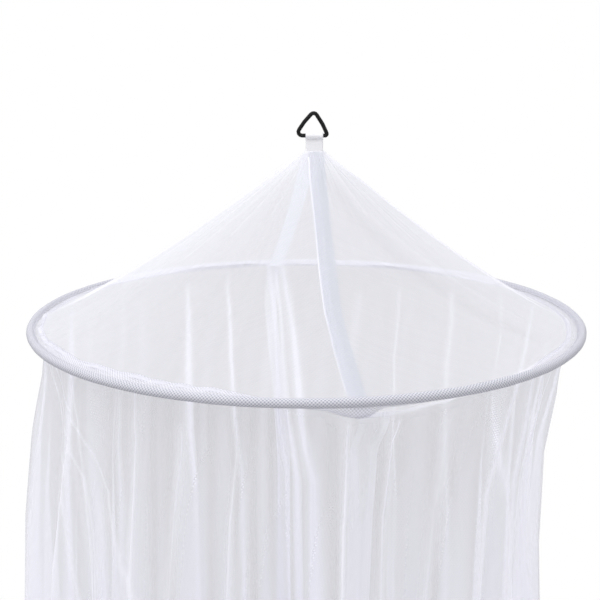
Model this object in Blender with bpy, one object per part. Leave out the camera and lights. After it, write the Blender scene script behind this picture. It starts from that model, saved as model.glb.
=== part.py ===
"""Round-hoop mosquito net canopy that hangs from one triangle ring.

The origin is the hanging point: the inside top of the triangle ring. +Z is up, -Y is the front with
the entry overlap and +X is to the right of someone who looks at that front. An azimuth is in degrees
about the hoop's centre, 0 at the front and 90 at the right.
"""

import math
from collections import namedtuple

import bmesh
import bpy
from mathutils import Quaternion, Vector

# Driving sizes, in metres.
HOOP_CENTRE = Vector((-0.009, 0.0, -0.237))  # the hoop hangs a little to the left of the ring
HOOP_RADIUS = 0.320
HOOP_ROD = 0.0056
SLEEVE_BORE = 0.0080
SLEEVE_CLOTH = 0.001
SEAM_SLOT = 0.0005  # between the two raw edges of the sleeve's seam
SEAM_CLOTH = 0.001
NET_CLOTH = 0.001
CANOPY_DROP = 2.16  # from the hoop down to the hem
APEX_HEIGHT = 0.196  # of the roof's top edge above the hoop
ROOF_CURVE = 1.2  # how hollow the roof's slope hangs, 1 would be a straight cone
COLLAR_SIDES = 0.6  # how square the roof's top edge lies round the tab, 1 would be an ellipse
COLLAR_FACES = 0.35
TAPE_WIDTH = 0.018
TAPE_CLOTH = 0.001
TAPE_END = 0.97  # share of the roof's slope where a tape ends
TAPE_SLACK = 1.6  # how far a tape hangs under the net, in thicknesses of a close layer
FRONT_TAPE_AZIMUTH = 9.0
BACK_TAPE_AZIMUTH = 189.0
WEB_WIDTH = 0.020
WEB_CLOTH = 0.0015
WEB_MIDDLE = 0.0003  # of the webbing tab along X
WEB_BOTTOM = -0.045
RING_ROD = 0.0047
RING_BAR_HEIGHT = -0.0234  # middle of the ring's lower bar
GAP = 0.0004  # between pieces that touch
ROOF_CLEAR = 0.0010  # from the edge of the sleeve's seam to the roof's edge
WALL_CLEAR = 0.0019  # and down to the top of the wall

# Steps of the faceted solids.
SLEEVE_STEPS = 72
SLEEVE_ARC_STEPS = 6
HOOP_SIDES = 8
ROOF_STEPS = 30
ROOF_BANDS = 6
ROOF_BUNCH = 1.15  # how much closer the bands lie near the apex
TAPE_STEPS = 10
CORNER_STEPS = 4
TAB_STEPS = 12
FOLD_STEPS = 6

# The ring's outline along the middle of its rod: corner places and how round each corner is.
RingCorner = namedtuple("RingCorner", "x z radius")
RING_CORNERS = [
    RingCorner(0.0, 0.0054, 0.0042),
    RingCorner(0.0160, RING_BAR_HEIGHT, 0.0020),
    RingCorner(-0.0225, RING_BAR_HEIGHT, 0.0042),
]
RING_BOW = 0.0009  # how far each slanting side bends outward at its middle

# The sleeve's seam: how far it turns up from level (degrees) and how far it stands out of the tube.
Seam = namedtuple("Seam", "azimuth turn width")
SEAMS = [
    Seam(-171, 4, 0.0115),
    Seam(-150, 9, 0.0105),
    Seam(-128, 5, 0.0115),
    Seam(-108, 12, 0.0105),
    Seam(-92, 8, 0.0100),
    Seam(-78, 22, 0.0108),
    Seam(-68, 15, 0.0104),
    Seam(-58, 30, 0.0112),
    Seam(-46, 22, 0.0106),
    Seam(-35, 30, 0.0112),
    Seam(-26, 19, 0.0108),
    Seam(-15, 12, 0.0112),
    Seam(-4, -30, 0.0120),
    Seam(6, -68, 0.0122),
    Seam(15, -76, 0.0125),
    Seam(24, -55, 0.0122),
    Seam(36, -14, 0.0120),
    Seam(52, 3, 0.0118),
    Seam(74, -2, 0.0122),
    Seam(98, 3, 0.0125),
    Seam(126, 0, 0.0118),
    Seam(150, 6, 0.0112),
    Seam(172, 1, 0.0118),
]

# The wall's outer line by how far it hangs below the hoop: radius at the fold crests, depth of the
# folds from crest to valley, and how far its middle lies to the right of the hoop's.
Level = namedtuple("Level", "drop crest depth shift")
LEVELS = [
    Level(0.06, 0.3045, 0.006, -0.006),
    Level(0.13, 0.3050, 0.011, -0.017),
    Level(0.24, 0.3130, 0.019, -0.025),
    Level(0.40, 0.3250, 0.031, -0.026),
    Level(0.60, 0.3410, 0.045, -0.024),
    Level(0.85, 0.3610, 0.060, -0.020),
    Level(1.15, 0.3870, 0.074, -0.016),
    Level(1.60, 0.4240, 0.090, -0.011),
    Level(CANOPY_DROP, 0.4620, 0.104, -0.008),
]
TOP_DEPTH = 0.003  # of the folds where the wall is sewn on
ROUNDNESS = 0.055  # how far the folds' flanks draw together at the hem, in folds

# The wall's folds, one row for each crest: azimuth at the hoop and at the hem, how far its crest
# stands out and how deep the valley after it is, beside a regular fold.
Fold = namedtuple("Fold", "hoop hem stand valley")
FOLDS = [
    Fold(-170.0, -172, 0.95, 0.80),
    Fold(-158.0, -156, 1.00, 1.15),
    Fold(-145.5, -145, 0.86, 0.85),
    Fold(-129.0, -127, 1.04, 1.12),
    Fold(-115.0, -113, 0.92, 0.70),
    Fold(-101.5, -102, 1.00, 1.05),
    Fold(-84.0, -83, 0.97, 0.95),
    Fold(-67.0, -71, 1.04, 1.12),
    Fold(-52.0, -54, 0.84, 0.75),
    Fold(-34.0, -40, 1.03, 0.92),
    Fold(-20.0, -22, 0.90, 1.15),
    Fold(-5.0, -8, 1.00, 0.82),
    Fold(10.5, 9, 1.02, 0.95),
    Fold(25.5, 21, 0.88, 1.15),
    Fold(40.0, 36, 1.04, 0.72),
    Fold(52.0, 49, 0.92, 1.05),
    Fold(69.0, 67, 1.00, 0.85),
    Fold(84.0, 79, 0.84, 1.10),
    Fold(97.0, 97, 1.03, 0.80),
    Fold(108.0, 109, 0.96, 1.12),
    Fold(120.0, 124, 0.88, 0.85),
    Fold(137.5, 140, 1.04, 1.10),
    Fold(154.0, 152, 0.90, 0.78),
    Fold(168.0, 168, 1.00, 1.00),
    Fold(182.0, 178, 0.88, 0.72),
]

# Where each wall panel begins and ends, in steps of a fold, and how far the right one lies inside
# the left where they lap.
LEFT_PANEL = (-1, 73)
RIGHT_PANEL = (71, 151)
LAP_STEPS = 2
LAP_AT_HOOP = 0.003
LAP_AT_HEM = 0.009


def clear_scene():
    """Removes the objects that a new file starts with."""
    for thing in list(bpy.data.objects):
        bpy.data.objects.remove(thing)


def make_material(name, colour, roughness, metallic=0.0):
    """A plain Principled material."""
    material = bpy.data.materials.new(name)
    material.use_nodes = True
    shader = material.node_tree.nodes["Principled BSDF"]
    shader.inputs["Base Color"].default_value = (*colour, 1.0)
    shader.inputs["Roughness"].default_value = roughness
    shader.inputs["Metallic"].default_value = metallic
    return material


def net_material():
    """White polyester net."""
    return make_material("white_net", (0.78, 0.78, 0.82), 0.85)


def mesh_sleeve_material():
    """Coarse white spacer mesh."""
    return make_material("coarse_mesh", (0.66, 0.66, 0.70), 0.80)


def tape_material():
    """White woven binding tape."""
    return make_material("white_tape", (0.70, 0.70, 0.73), 0.75)


def webbing_material():
    """White woven webbing."""
    return make_material("white_webbing", (0.82, 0.82, 0.83), 0.70)


def hoop_material():
    """Pale plastic rod."""
    return make_material("hoop_rod", (0.60, 0.60, 0.62), 0.50)


def ring_material():
    """Black moulded plastic."""
    return make_material("black_plastic", (0.015, 0.015, 0.017), 0.40)


def ease(share):
    """A share from 0 to 1 that starts and stops softly."""
    return share * share * (3 - 2 * share)


def around(rows, azimuth, column):
    """A column of an azimuth table, read softly between its rows all the way round."""
    turned = (azimuth - rows[0].azimuth) % 360 + rows[0].azimuth
    after = [*rows[1:], rows[0]._replace(azimuth=rows[0].azimuth + 360)]
    for low, high in zip(rows, after):
        if turned <= high.azimuth:
            share = ease((turned - low.azimuth) / (high.azimuth - low.azimuth))
            start = getattr(low, column)
            return start + (getattr(high, column) - start) * share
    return getattr(rows[0], column)


def down(drop, column):
    """A column of the wall's levels, read straight between its rows."""
    for low, high in zip(LEVELS, LEVELS[1:]):
        if drop <= high.drop:
            share = max(0.0, (drop - low.drop) / (high.drop - low.drop))
            start = getattr(low, column)
            return start + (getattr(high, column) - start) * share
    return getattr(LEVELS[-1], column)


def from_hoop(azimuth, radius, height, shift=0.0):
    """A place by azimuth, radius and height from the hoop's centre."""
    turn = math.radians(azimuth)
    return HOOP_CENTRE + Vector((radius * math.sin(turn) + shift, -radius * math.cos(turn), height))


def seam_frame(azimuth):
    """The sleeve seam's direction out of the tube and its upper side, as (radial, up) pairs."""
    turn = math.radians(around(SEAMS, azimuth, "turn"))
    return (-math.cos(turn), math.sin(turn)), (math.sin(turn), math.cos(turn))


def beside_seam(azimuth, beyond, above):
    """Radius and height of a place beyond the seam's free edge and above its middle."""
    out, up = seam_frame(azimuth)
    reach = SLEEVE_BORE / 2 + SLEEVE_CLOTH + around(SEAMS, azimuth, "width") + beyond
    return HOOP_RADIUS + out[0] * reach + up[0] * above, out[1] * reach + up[1] * above


def add_object(name, mesh, material):
    """Links a mesh to the scene as the named piece."""
    mesh.materials.append(material)
    thing = bpy.data.objects.new(name, mesh)
    bpy.context.scene.collection.objects.link(thing)
    return thing


def mesh_of(name, rows, close_rows=False, close_columns=False):
    """A mesh of quads over a grid of points."""
    built = bmesh.new()
    grid = [[built.verts.new(point) for point in row] for row in rows]
    row_pairs = list(zip(grid, grid[1:]))
    if close_rows:
        row_pairs.append((grid[-1], grid[0]))
    for low, high in row_pairs:
        count = len(low) if close_columns else len(low) - 1
        for i in range(count):
            j = (i + 1) % len(low)
            built.faces.new((low[i], low[j], high[j], high[i]))
    bmesh.ops.recalc_face_normals(built, faces=built.faces[:])
    mesh = bpy.data.meshes.new(name)
    built.to_mesh(mesh)
    built.free()
    return mesh


def add_sheet(name, rows, thickness, material):
    """A sheet over a grid of middle points, given its thickness by Solidify."""
    thing = add_object(name, mesh_of(name, rows), material)
    solid = thing.modifiers.new("cloth", "SOLIDIFY")
    solid.thickness = thickness
    solid.offset = 0.0
    solid.use_even_offset = True
    return thing


def corner_arc(before, corner, after):
    """Points of the round corner between two straight runs."""
    here = Vector((corner.x, 0.0, corner.z))
    into = (here - Vector((before.x, 0.0, before.z))).normalized()
    away = (Vector((after.x, 0.0, after.z)) - here).normalized()
    half = into.angle(away) / 2
    middle = here + (away - into).normalized() * corner.radius / math.cos(half)
    start = here - into * corner.radius * math.tan(half) - middle
    axis = into.cross(away).normalized()
    points = []
    for i in range(CORNER_STEPS + 1):
        points.append(middle + Quaternion(axis, 2 * half * i / CORNER_STEPS) @ start)
    return points


def ring_outline():
    """The closed line along the middle of the ring's rod."""
    points = []
    count = len(RING_CORNERS)
    for i, corner in enumerate(RING_CORNERS):
        before = RING_CORNERS[i - 1]
        after = RING_CORNERS[(i + 1) % count]
        arc = corner_arc(before, corner, after)
        if points and corner.z != before.z:
            points.append(bowed(points[-1], arc[0]))
        points.extend(arc)
    points.append(bowed(points[-1], points[0]))
    return points


def bowed(start, end):
    """The middle of a slanting side, bent a little outward."""
    middle = (start + end) / 2
    outward = Vector((math.copysign(1.0, middle.x), 0.0, 0.0))
    return middle + outward * RING_BOW


def build_triangle_ring():
    """The moulded ring: a round rod along a triangle with round corners."""
    outline = ring_outline()
    curve = bpy.data.curves.new("triangle_ring", "CURVE")
    curve.dimensions = "3D"
    curve.bevel_depth = RING_ROD / 2
    curve.bevel_resolution = 2
    spline = curve.splines.new("POLY")
    spline.points.add(len(outline) - 1)
    for point, place in zip(spline.points, outline):
        point.co = (*place, 1.0)
    spline.use_cyclic_u = True
    spline.use_smooth = True
    return add_object("triangle_ring", curve, ring_material())


def tab_section():
    """The tab's outline seen from the side, and the round way through it for the ring's bar."""
    bore = RING_ROD / 2 + GAP
    outer = bore + WEB_CLOTH
    tail = WEB_CLOTH
    spread = math.asin(tail / outer)
    outline = [Vector((0.0, tail, WEB_BOTTOM))]
    for i in range(TAB_STEPS + 1):
        turn = spread + (2 * math.pi - 2 * spread) * i / TAB_STEPS
        place = Vector((0.0, math.sin(turn) * outer, RING_BAR_HEIGHT - math.cos(turn) * outer))
        outline.append(place)
    outline.append(Vector((0.0, -tail, WEB_BOTTOM)))
    hole = []
    for i in range(len(outline)):
        turn = 2 * math.pi * i / len(outline)
        hole.append(Vector((0.0, math.sin(turn) * bore, RING_BAR_HEIGHT - math.cos(turn) * bore)))
    return outline, hole


def build_hanging_tab():
    """The webbing folded over the ring's bar, its two layers sewn into one tail."""
    outline, hole = tab_section()
    turned = hole[1:] + hole[:1]
    sides = [WEB_MIDDLE - WEB_WIDTH / 2, WEB_MIDDLE + WEB_WIDTH / 2]
    left, right = [[Vector((x, 0, 0)) + p for p in outline] for x in sides]
    left_hole, right_hole = [[Vector((x, 0, 0)) + p for p in turned] for x in sides]
    mesh = mesh_of(
        "hanging_tab", [left, right, right_hole, left_hole], close_rows=True, close_columns=True
    )
    return add_object("hanging_tab", mesh, webbing_material())


def build_hoop():
    """The stiff round hoop inside the sleeve."""
    bpy.ops.mesh.primitive_torus_add(
        location=HOOP_CENTRE,
        major_radius=HOOP_RADIUS,
        minor_radius=HOOP_ROD / 2,
        major_segments=SLEEVE_STEPS,
        minor_segments=HOOP_SIDES,
    )
    hoop = bpy.context.object
    hoop.name = "hoop"
    hoop.data.name = "hoop"
    hoop.data.materials.append(hoop_material())
    hoop.data.shade_smooth()
    return hoop


def sleeve_section(azimuth):
    """The sleeve's closed outline at one azimuth: a tube whose two edges run side by side."""
    bore = SLEEVE_BORE / 2
    outer = bore + SLEEVE_CLOTH
    width = around(SEAMS, azimuth, "width")
    slot = SEAM_SLOT / 2
    skin = slot + SEAM_CLOTH
    edge = outer + width
    outer_line = [(edge, skin), *tube_arc(outer, skin, 1), (edge, -skin)]
    bore_line = [(edge, -slot), *reversed(tube_arc(bore, slot, 1)), (edge, slot)]
    out, up = seam_frame(azimuth)
    section = []
    for along, above in outer_line + bore_line:
        radius = HOOP_RADIUS + out[0] * along + up[0] * above
        section.append(from_hoop(azimuth, radius, out[1] * along + up[1] * above))
    return section


def tube_arc(radius, offset, side):
    """The tube's round line from one lip of its seam round to the other, as (along, above)."""
    lip = math.asin(offset / radius)
    points = []
    for i in range(SLEEVE_ARC_STEPS + 1):
        turn = lip + (2 * math.pi - 2 * lip) * i / SLEEVE_ARC_STEPS
        points.append((math.cos(turn) * radius, side * math.sin(turn) * radius))
    return points


def build_hoop_sleeve():
    """The coarse mesh casing round the hoop with its inward seam."""
    rows = [sleeve_section(360 * i / SLEEVE_STEPS) for i in range(SLEEVE_STEPS)]
    mesh = mesh_of("hoop_sleeve", rows, close_rows=True, close_columns=True)
    return add_object("hoop_sleeve", mesh, mesh_sleeve_material())


def collar_point(azimuth):
    """A place on the roof's top edge, which lies flat round the tab and the tape ends."""
    turn = math.radians(azimuth)
    half_width = WEB_WIDTH / 2 + NET_CLOTH + GAP
    half_depth = WEB_CLOTH + GAP + TAPE_CLOTH + GAP + NET_CLOTH
    across = math.copysign(abs(math.sin(turn)) ** COLLAR_SIDES, math.sin(turn)) * half_width
    depth = -math.copysign(abs(math.cos(turn)) ** COLLAR_FACES, math.cos(turn)) * half_depth
    return Vector((WEB_MIDDLE + across, depth, HOOP_CENTRE.z + APEX_HEIGHT))


def roof_point(azimuth, share, below=0.0):
    """A place on the roof from its top edge (share 0) to the sleeve's seam (share 1)."""
    radius, height = beside_seam(azimuth, ROOF_CLEAR, ROOF_CLEAR)
    edge = from_hoop(azimuth, radius, height)
    top = collar_point(azimuth)
    place = top.lerp(edge, share)
    place.z = edge.z + (top.z - edge.z) * (1 - share) ** ROOF_CURVE - below
    return place


def build_roof_half(name, start, end):
    """One half of the roof net, from one taped seam round to the other."""
    half_gap = math.degrees(GAP / HOOP_RADIUS) * 2
    rows = []
    for i in range(ROOF_STEPS + 1):
        azimuth = start + half_gap + (end - start - 2 * half_gap) * i / ROOF_STEPS
        shares = [(j / ROOF_BANDS) ** ROOF_BUNCH for j in range(ROOF_BANDS + 1)]
        rows.append([roof_point(azimuth, share) for share in shares])
    return add_sheet(name, rows, NET_CLOTH, net_material())


def build_tape(name, azimuth):
    """The tape under a roof seam, from the tab down to the sleeve."""
    inner = NET_CLOTH / 2 + GAP + TAPE_CLOTH / 2
    across = Vector((math.cos(math.radians(azimuth)), math.sin(math.radians(azimuth)), 0.0))
    rows = []
    for i in range(TAPE_STEPS + 1):
        share = TAPE_END * i / TAPE_STEPS
        here = roof_point(azimuth, share)
        ahead = roof_point(azimuth, share + 0.01)
        slope = (ahead - here).normalized()
        inward = slope.cross(across)
        inward *= -math.copysign(inner * TAPE_SLACK, inward.z)
        middle = here + inward
        rows.append([middle + across * side * TAPE_WIDTH / 2 for side in (-1, 1)])
    return add_sheet(name, rows, TAPE_CLOTH, tape_material())


def fold_azimuth(index, share):
    """A crest's azimuth at a share of the drop."""
    lap, row = divmod(index, len(FOLDS))
    fold = FOLDS[row]
    return 360 * lap + fold.hoop + (fold.hem - fold.hoop) * share


def wall_point(position, drop, lap=0.0):
    """A place on the wall: position counts folds round the canopy, drop is below the hoop."""
    index = math.floor(position)
    phase = position - index
    share = drop / CANOPY_DROP
    this, after = fold_azimuth(index, share), fold_azimuth(index + 1, share)
    drawn = phase + ROUNDNESS * share * math.sin(4 * math.pi * phase)
    azimuth = this + (after - this) * drawn
    stand = FOLDS[index % len(FOLDS)].stand * (1 - phase) + FOLDS[(index + 1) % len(FOLDS)].stand * phase
    depth = TOP_DEPTH if drop <= 0 else down(drop, "depth")
    valley = depth * FOLDS[index % len(FOLDS)].valley * (1 - math.cos(2 * math.pi * phase)) / 2
    sink = depth * (1.05 - stand) + valley + lap
    if drop <= 0:
        radius, height = beside_seam(azimuth, WALL_CLEAR, -WALL_CLEAR)
        return from_hoop(azimuth, radius - lap, height)
    return from_hoop(azimuth, down(drop, "crest") - sink, -drop, down(drop, "shift"))


def build_wall_panel(name, span, inner):
    """One hanging panel of the wall, folded all the way down to its hem."""
    start, end = span
    rows = []
    for drop in [0.0, *[level.drop for level in LEVELS]]:
        lap = (LAP_AT_HOOP + (LAP_AT_HEM - LAP_AT_HOOP) * drop / CANOPY_DROP) * inner
        row = []
        for step in range(start, end + 1):
            inside = min(step - start, end - step) - LAP_STEPS
            fade = min(1.0, max(0.0, 1 - inside / FOLD_STEPS))
            row.append(wall_point(step / FOLD_STEPS, drop, lap * fade))
        rows.append(row)
    return add_sheet(name, rows, NET_CLOTH, net_material())


def main():
    """Builds the canopy from its ring down to its hem."""
    clear_scene()
    build_triangle_ring()
    build_hanging_tab()
    build_tape("front_tape", FRONT_TAPE_AZIMUTH)
    build_tape("back_tape", BACK_TAPE_AZIMUTH)
    build_roof_half("roof_right", FRONT_TAPE_AZIMUTH, BACK_TAPE_AZIMUTH)
    build_roof_half("roof_left", BACK_TAPE_AZIMUTH - 360, FRONT_TAPE_AZIMUTH)
    build_hoop()
    build_hoop_sleeve()
    build_wall_panel("wall_left", LEFT_PANEL, 0)
    build_wall_panel("wall_right", RIGHT_PANEL, 1)


main()
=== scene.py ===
"""Looks of the round-hoop mosquito net canopy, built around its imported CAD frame.

The origin is the inside top of the triangle ring. +Z is up, -Y is the front with the entry overlap.
An azimuth is in degrees about the hoop's centre, 0 at the front and 90 at the right. All lengths are
in metres unless a name says millimetres.
"""

import logging
import math
from dataclasses import dataclass
from enum import Enum
from typing import Any, NamedTuple, Optional

import bpy
import numpy as np
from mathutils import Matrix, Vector

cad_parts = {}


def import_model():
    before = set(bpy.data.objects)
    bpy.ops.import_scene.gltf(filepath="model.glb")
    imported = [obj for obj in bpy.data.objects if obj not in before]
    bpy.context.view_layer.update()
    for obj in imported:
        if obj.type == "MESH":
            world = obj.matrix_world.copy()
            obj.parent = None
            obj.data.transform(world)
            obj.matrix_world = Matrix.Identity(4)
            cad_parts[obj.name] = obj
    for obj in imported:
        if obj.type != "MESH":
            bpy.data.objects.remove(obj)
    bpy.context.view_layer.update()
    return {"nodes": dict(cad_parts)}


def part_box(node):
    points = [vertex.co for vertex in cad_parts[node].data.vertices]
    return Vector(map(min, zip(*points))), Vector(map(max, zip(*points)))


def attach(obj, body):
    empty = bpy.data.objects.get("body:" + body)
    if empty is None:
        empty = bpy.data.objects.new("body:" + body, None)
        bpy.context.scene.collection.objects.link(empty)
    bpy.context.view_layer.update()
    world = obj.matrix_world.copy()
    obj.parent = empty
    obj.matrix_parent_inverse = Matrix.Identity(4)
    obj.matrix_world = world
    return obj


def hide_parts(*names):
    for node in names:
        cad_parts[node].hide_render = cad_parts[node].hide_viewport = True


Grid = np.ndarray
Socket = bpy.types.NodeSocket
LOG = logging.getLogger("canopy")
SEE_THROUGH_LAYERS = 48
FLOOR_GAP = 0.03
FRONT_SEAM = 9.0  # azimuths of the roof's two seams
BACK_SEAM = 189.0
FRONT_SWAY = (-4.0, -3.2, -2.4, -2.1, -0.2, 1.2)


# ---------------------------------------------------------------------------------------------
# Tables: the folds, seams and pleats of this canopy.


class Seam(NamedTuple):
    """The sleeve's seam at one azimuth: its turn above level in degrees, and its width."""

    azimuth: float
    turn: float
    width: float


SEAMS = [
    Seam(-171, 4, 0.0115),
    Seam(-150, 9, 0.0105),
    Seam(-128, 5, 0.0115),
    Seam(-108, 12, 0.0105),
    Seam(-92, 8, 0.0100),
    Seam(-78, 22, 0.0108),
    Seam(-68, 15, 0.0104),
    Seam(-58, 30, 0.0112),
    Seam(-46, 22, 0.0106),
    Seam(-35, 30, 0.0112),
    Seam(-26, 19, 0.0108),
    Seam(-15, 12, 0.0112),
    Seam(-5, -14, 0.0114),
    Seam(2, -38, 0.0120),
    Seam(9, -72, 0.0130),
    Seam(14, -74, 0.0125),
    Seam(24, -52, 0.0115),
    Seam(36, -14, 0.0120),
    Seam(52, 3, 0.0118),
    Seam(74, -2, 0.0122),
    Seam(98, 3, 0.0125),
    Seam(126, 0, 0.0118),
    Seam(150, 6, 0.0112),
    Seam(172, 1, 0.0118),
]


class Ruffle(NamedTuple):
    """One ruffle of the seam's raw edge: where it is, how broad in degrees, and its lift."""

    azimuth: float
    breadth: float
    lift: float


RUFFLES = [
    Ruffle(-162, 4.0, 0.0010),
    Ruffle(-140, 5.0, -0.0012),
    Ruffle(-117, 4.0, 0.0016),
    Ruffle(-100, 3.5, -0.0018),
    Ruffle(-88, 2.4, 0.0024),
    Ruffle(-81, 2.0, -0.0014),
    Ruffle(-74, 2.0, 0.0022),
    Ruffle(-67, 1.8, 0.0024),
    Ruffle(-61.5, 1.5, 0.0018),
    Ruffle(-55, 2.2, 0.0026),
    Ruffle(-48.5, 1.8, -0.0012),
    Ruffle(-42, 2.4, 0.0030),
    Ruffle(-36, 1.6, -0.0014),
    Ruffle(-31, 1.8, 0.0026),
    Ruffle(-26.5, 1.3, 0.0018),
    Ruffle(-22, 1.4, 0.0022),
    Ruffle(-16.5, 1.8, 0.0024),
    Ruffle(-8, 3.0, 0.0008),
    Ruffle(31, 3.0, 0.0010),
    Ruffle(47, 2.6, -0.0010),
    Ruffle(57, 3.0, 0.0013),
    Ruffle(70, 3.5, -0.0009),
    Ruffle(85, 4.0, 0.0010),
    Ruffle(104, 4.0, -0.0010),
    Ruffle(121, 3.0, 0.0016),
    Ruffle(133, 3.0, -0.0008),
    Ruffle(158, 5.0, 0.0010),
]


class Level(NamedTuple):
    """The wall's outer line at one drop below the hoop."""

    drop: float
    crest: float
    depth: float
    shift: float


LEVELS = [
    Level(0.06, 0.3045, 0.006, -0.006),
    Level(0.13, 0.3050, 0.011, -0.017),
    Level(0.24, 0.3130, 0.019, -0.025),
    Level(0.40, 0.3250, 0.031, -0.026),
    Level(0.60, 0.3410, 0.045, -0.024),
    Level(0.85, 0.3610, 0.060, -0.020),
    Level(1.15, 0.3870, 0.074, -0.016),
    Level(1.60, 0.4240, 0.090, -0.011),
    Level(2.16, 0.4620, 0.104, -0.008),
]


class Fold(NamedTuple):
    """A fold crest of the wall: azimuth at the hoop and the hem, stand of its crest, its valley."""

    hoop: float
    hem: float
    stand: float
    valley: float


FOLDS = [
    Fold(-170.0, -172, 0.95, 0.80),
    Fold(-158.0, -156, 1.00, 1.15),
    Fold(-145.5, -145, 0.86, 0.85),
    Fold(-129.0, -127, 1.04, 1.12),
    Fold(-115.0, -113, 0.92, 0.70),
    Fold(-101.5, -102, 1.00, 1.05),
    Fold(-84.0, -83, 0.97, 0.95),
    Fold(-67.0, -71, 1.04, 1.12),
    Fold(-52.0, -54, 0.84, 0.75),
    Fold(-34.0, -40, 1.03, 0.92),
    Fold(-20.0, -22, 0.90, 1.15),
    Fold(-5.0, -8, 1.00, 0.82),
    Fold(10.5, 9, 1.02, 0.95),
    Fold(25.5, 21, 0.88, 1.15),
    Fold(40.0, 36, 1.04, 0.72),
    Fold(52.0, 49, 0.92, 1.05),
    Fold(69.0, 67, 1.00, 0.85),
    Fold(84.0, 79, 0.84, 1.10),
    Fold(97.0, 97, 1.03, 0.80),
    Fold(108.0, 109, 0.96, 1.12),
    Fold(120.0, 124, 0.88, 0.85),
    Fold(137.5, 140, 1.04, 1.10),
    Fold(154.0, 152, 0.90, 0.78),
    Fold(168.0, 168, 1.00, 1.00),
    Fold(182.0, 178, 0.88, 0.72),
]


class Pleat(NamedTuple):
    """A pleat that lies over on itself: its azimuth at three drops, reach and half-widths.

    top, middle and low are azimuths at the hoop, at PLEAT_MIDDLE and at PLEAT_LOW. It runs from
    start down to end. side is 1 where its right edge lies in front, and -1 where its left does.
    white is how much denser the cloth looks where it lies doubled.
    """

    top: float
    middle: float
    low: float
    start: float
    end: float
    narrow: float
    wide: float
    side: int
    white: float


PLEAT_MIDDLE = 0.12
PLEAT_LOW = 0.34
PLEATS = [
    Pleat(-169.6, -174.3, -179.3, 0.004, 0.70, 0.0030, 0.0042, -1, 0.75),
    Pleat(-157.5, -161.3, -166.2, 0.020, 0.80, 0.0022, 0.0050, 1, 0.50),
    Pleat(-146.0, -148.5, -151.2, 0.045, 0.90, 0.0034, 0.0052, 1, 0.50),
    Pleat(-131.0, -134.0, -136.0, 0.060, 0.60, 0.0022, 0.0038, -1, 0.22),
    Pleat(-124.5, -127.5, -130.0, 0.050, 0.80, 0.0030, 0.0055, 1, 0.24),
    Pleat(-112.0, -115.5, -119.0, 0.080, 0.90, 0.0030, 0.0060, -1, 0.30),
    Pleat(-103.0, -106.5, -107.0, 0.020, 0.75, 0.0036, 0.0060, 1, 0.45),
    Pleat(-88.0, -87.0, -86.0, 0.010, 0.90, 0.0040, 0.0090, -1, 0.35),
    Pleat(-76.0, -75.0, -72.0, 0.016, 0.80, 0.0026, 0.0060, 1, 0.40),
    Pleat(-51.5, -52.0, -55.0, 0.004, 0.90, 0.0038, 0.0060, 1, 0.75),
    Pleat(-32.7, -31.0, -30.5, 0.014, 0.80, 0.0016, 0.0034, 1, 0.75),
    Pleat(-22.0, -21.5, -21.0, 0.100, 0.90, 0.0016, 0.0060, -1, 0.30),
    Pleat(-12.0, -11.0, -10.0, 0.060, 0.90, 0.0016, 0.0050, 1, 0.25),
    Pleat(7.0, 9.9, 12.0, 0.016, 0.60, 0.0014, 0.0030, 1, 0.65),
    Pleat(16.0, 18.3, 21.0, 0.012, 0.80, 0.0014, 0.0050, -1, 0.60),
    Pleat(27.0, 28.3, 30.0, 0.030, 0.90, 0.0060, 0.0100, 1, 0.24),
    Pleat(45.5, 41.2, 40.5, 0.010, 0.75, 0.0026, 0.0060, 1, 0.70),
    Pleat(50.3, 50.8, 51.5, 0.016, 0.70, 0.0024, 0.0046, 1, 0.65),
    Pleat(54.0, 61.5, 66.0, 0.020, 0.70, 0.0022, 0.0046, 1, 0.55),
    Pleat(74.0, 76.0, 78.0, 0.020, 0.80, 0.0030, 0.0070, -1, 0.45),
    Pleat(96.3, 95.5, 94.0, 0.008, 0.70, 0.0026, 0.0055, 1, 0.45),
    Pleat(106.3, 107.2, 108.0, 0.010, 0.70, 0.0034, 0.0070, -1, 0.50),
    Pleat(121.0, 114.5, 106.0, 0.020, 0.80, 0.0026, 0.0060, 1, 0.55),
    Pleat(137.5, 134.3, 129.0, 0.050, 0.90, 0.0034, 0.0070, -1, 0.40),
    Pleat(153.5, 151.0, 146.5, 0.070, 0.90, 0.0024, 0.0055, 1, 0.26),
    Pleat(164.0, 163.5, 160.0, 0.100, 0.90, 0.0026, 0.0080, -1, 0.25),
    Pleat(187.0, 180.3, 173.2, 0.002, 0.80, 0.0050, 0.0105, 1, 0.75),
    Pleat(188.9, 183.9, 177.9, 0.004, 0.75, 0.0024, 0.0048, 1, 0.70),
]


class Crossing(NamedTuple):
    """A narrow fold that slants across the others, with Pleat's azimuths, reach and half-widths."""

    top: float
    middle: float
    low: float
    start: float
    end: float
    narrow: float
    wide: float
    white: float


CROSSINGS = [
    Crossing(-66.0, -53.0, -42.0, 0.014, 0.45, 0.0022, 0.0030, 0.32),
    Crossing(-70.0, -46.0, -33.0, 0.036, 0.40, 0.0024, 0.0028, 0.26),
    Crossing(-66.5, -37.0, -23.0, 0.030, 0.40, 0.0024, 0.0030, 0.32),
    Crossing(-52.5, -46.0, -38.0, 0.050, 0.45, 0.0016, 0.0022, 0.35),
    Crossing(-60.0, -48.0, -36.0, 0.030, 0.40, 0.0040, 0.0060, 0.12),
    Crossing(62.0, 57.0, 52.0, 0.060, 0.40, 0.0010, 0.0016, 0.30),
    Crossing(72.0, 69.0, 64.0, 0.030, 0.50, 0.0016, 0.0030, 0.30),
]


class Crease(NamedTuple):
    """A soft trough (depth below zero) or ridge along the roof, from its apex outward.

    start and end are shares of the slope, and white is how much denser the net looks in it; a white below
    zero thins the net into a darker band, which is painted shade.
    """

    start_azimuth: float
    end_azimuth: float
    start: float
    end: float
    depth: float
    breadth: float
    white: float


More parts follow.
